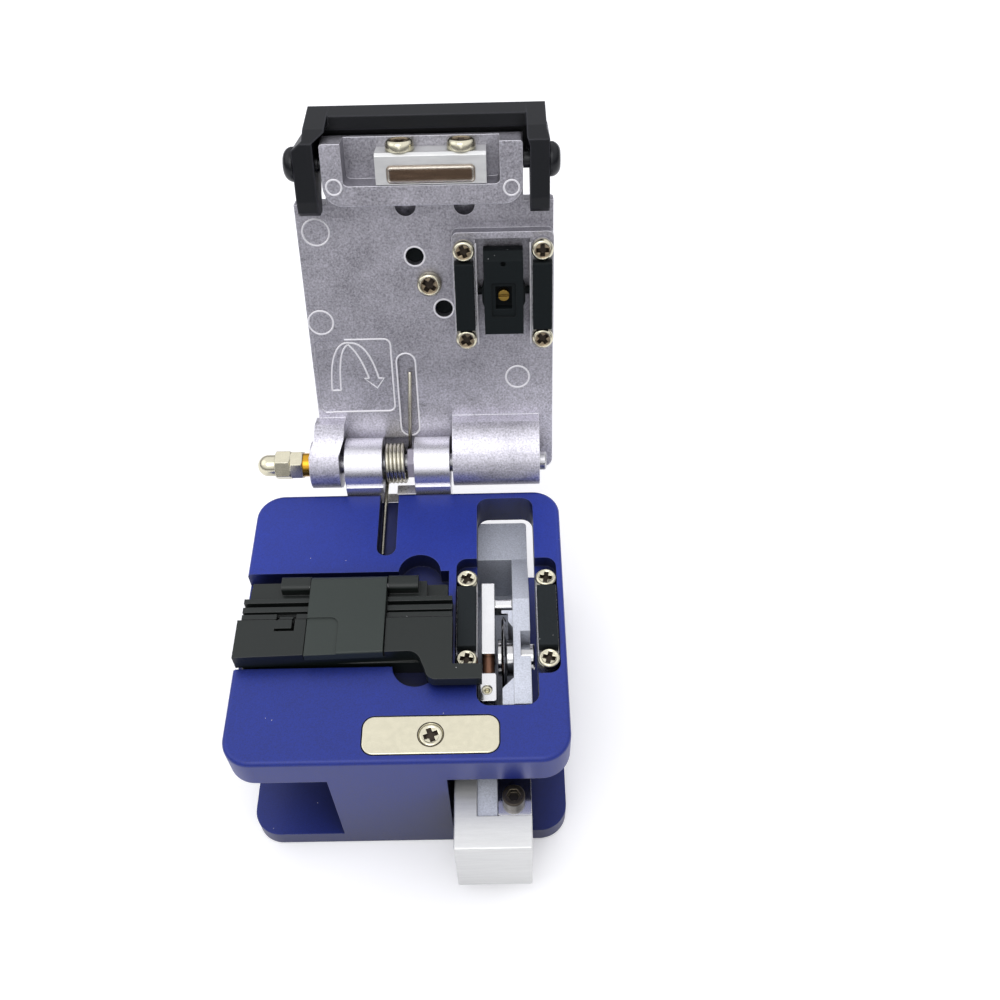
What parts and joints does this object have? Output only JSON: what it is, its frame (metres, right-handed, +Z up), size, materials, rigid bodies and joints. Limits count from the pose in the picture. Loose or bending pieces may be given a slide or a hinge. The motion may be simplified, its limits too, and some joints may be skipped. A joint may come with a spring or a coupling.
{
  "type": "fibre cleaver",
  "caption": "Hand-held optical fibre cleaver: C-shaped body, sliding disc blade, lift-out fibre holder, and a hinged clamp lid with a pry lever, stored open.",
  "frame": {"origin": "middle of the base plate's underside, at the height of the bench", "axes": "X to the right along the fibre, Y to the rear where the lid is hinged, Z up"},
  "size_m": [0.0636, 0.1118, 0.1048],
  "materials": {
    "blue_anodised": "satin anodised",
    "cast_silver": "bead-blasted casting",
    "satin_aluminium": "brushed",
    "nickel": "plated",
    "steel": "ground",
    "brass": "turned",
    "black_plastic": "moulded",
    "olive_plastic": "moulded",
    "rubber": "matt",
    "nylon": "translucent nylon",
    "carbide": "polished"
  },
  "bodies": {
    "body": {"body_frame": "blue_anodised", "hinge_block": "cast_silver", "hinge_block_screws": "nickel", "hinge_shaft": "steel", "brass_bush": "brass", "lock_nut": "nickel", "acorn_nut": "nickel", "spring_spacer": "nylon", "torsion_spring": "steel", "strike_plate": "nickel", "strike_plate_screw": "nickel", "lower_seat_left": "steel", "lower_seat_right": "steel", "lower_pad_left": "rubber", "lower_pad_right": "rubber", "lower_clamp_screws": "nickel", "slide_rail": "steel", "slide_rail_screws": "steel"},
    "slider": {"bearing_block": "steel", "carriage": "satin_aluminium", "blade_hub": "steel", "blade_screw": "nickel", "blade_arm": "nickel", "arm_block": "nickel", "arm_pin": "brass", "height_screw": "steel", "knob": "satin_aluminium", "stop_plate": "nickel", "stop_screw": "nickel"},
    "blade": {"blade": "carbide"},
    "holder": {"fibre_holder": "olive_plastic", "flap_pin": "steel"},
    "holder_flap": {"holder_flap": "olive_plastic"},
    "lid": {"lid_shell": "cast_silver", "magnet_holder": "cast_silver", "magnet": "nickel", "magnet_screws": "nickel", "upper_seat_left": "steel", "upper_seat_right": "steel", "upper_pad_left": "rubber", "upper_pad_right": "rubber", "upper_clamp_screws": "nickel", "press_pad": "black_plastic", "press_pad_screw": "nickel", "lever_pivot_screws": "black_plastic"},
    "anvil": {"anvil": "black_plastic", "anvil_screw": "brass"},
    "lever": {"lever": "black_plastic"}
  },
  "joints": [
    {"name": "lid_hinge", "type": "hinge", "parent": "body", "child": "lid", "pos_m": [0, 0.03635, 0.04037], "axis": [1, 0, 0], "range_deg": [0, 110.2], "stiffness_Nm_per_rad": 0.008, "springref_deg": -22.92, "deforming": ["torsion_spring"]},
    {"name": "blade_slide", "type": "slide", "parent": "body", "child": "slider", "axis": [0, 1, 0], "range_m": [0, 0.0112]},
    {"name": "blade_index", "type": "hinge", "parent": "slider", "child": "blade", "pos_m": [0.0196, -0.0056, 0.0305], "axis": [1, 0, 0], "continuous": true},
    {"name": "holder_lift", "type": "slide", "parent": "body", "child": "holder", "axis": [0, 0, -1], "range_m": [-0.02, 0]},
    {"name": "flap_hinge", "type": "hinge", "parent": "holder", "child": "holder_flap", "pos_m": [-0.01, 0.0054, 0.04006], "axis": [1, 0, 0], "range_deg": [-100, 0]},
    {"name": "anvil_rock", "type": "hinge", "parent": "lid", "child": "anvil", "pos_m": [0, 0.05174, 0.07425], "axis": [1, 0, 0], "range_deg": [-2, 2], "stiffness_Nm_per_rad": 0.02},
    {"name": "lever_pivot", "type": "hinge", "parent": "lid", "child": "lever", "pos_m": [0, 0.05861, 0.09915], "axis": [1, 0, 0], "range_deg": [-8, 0]}
  ]
}
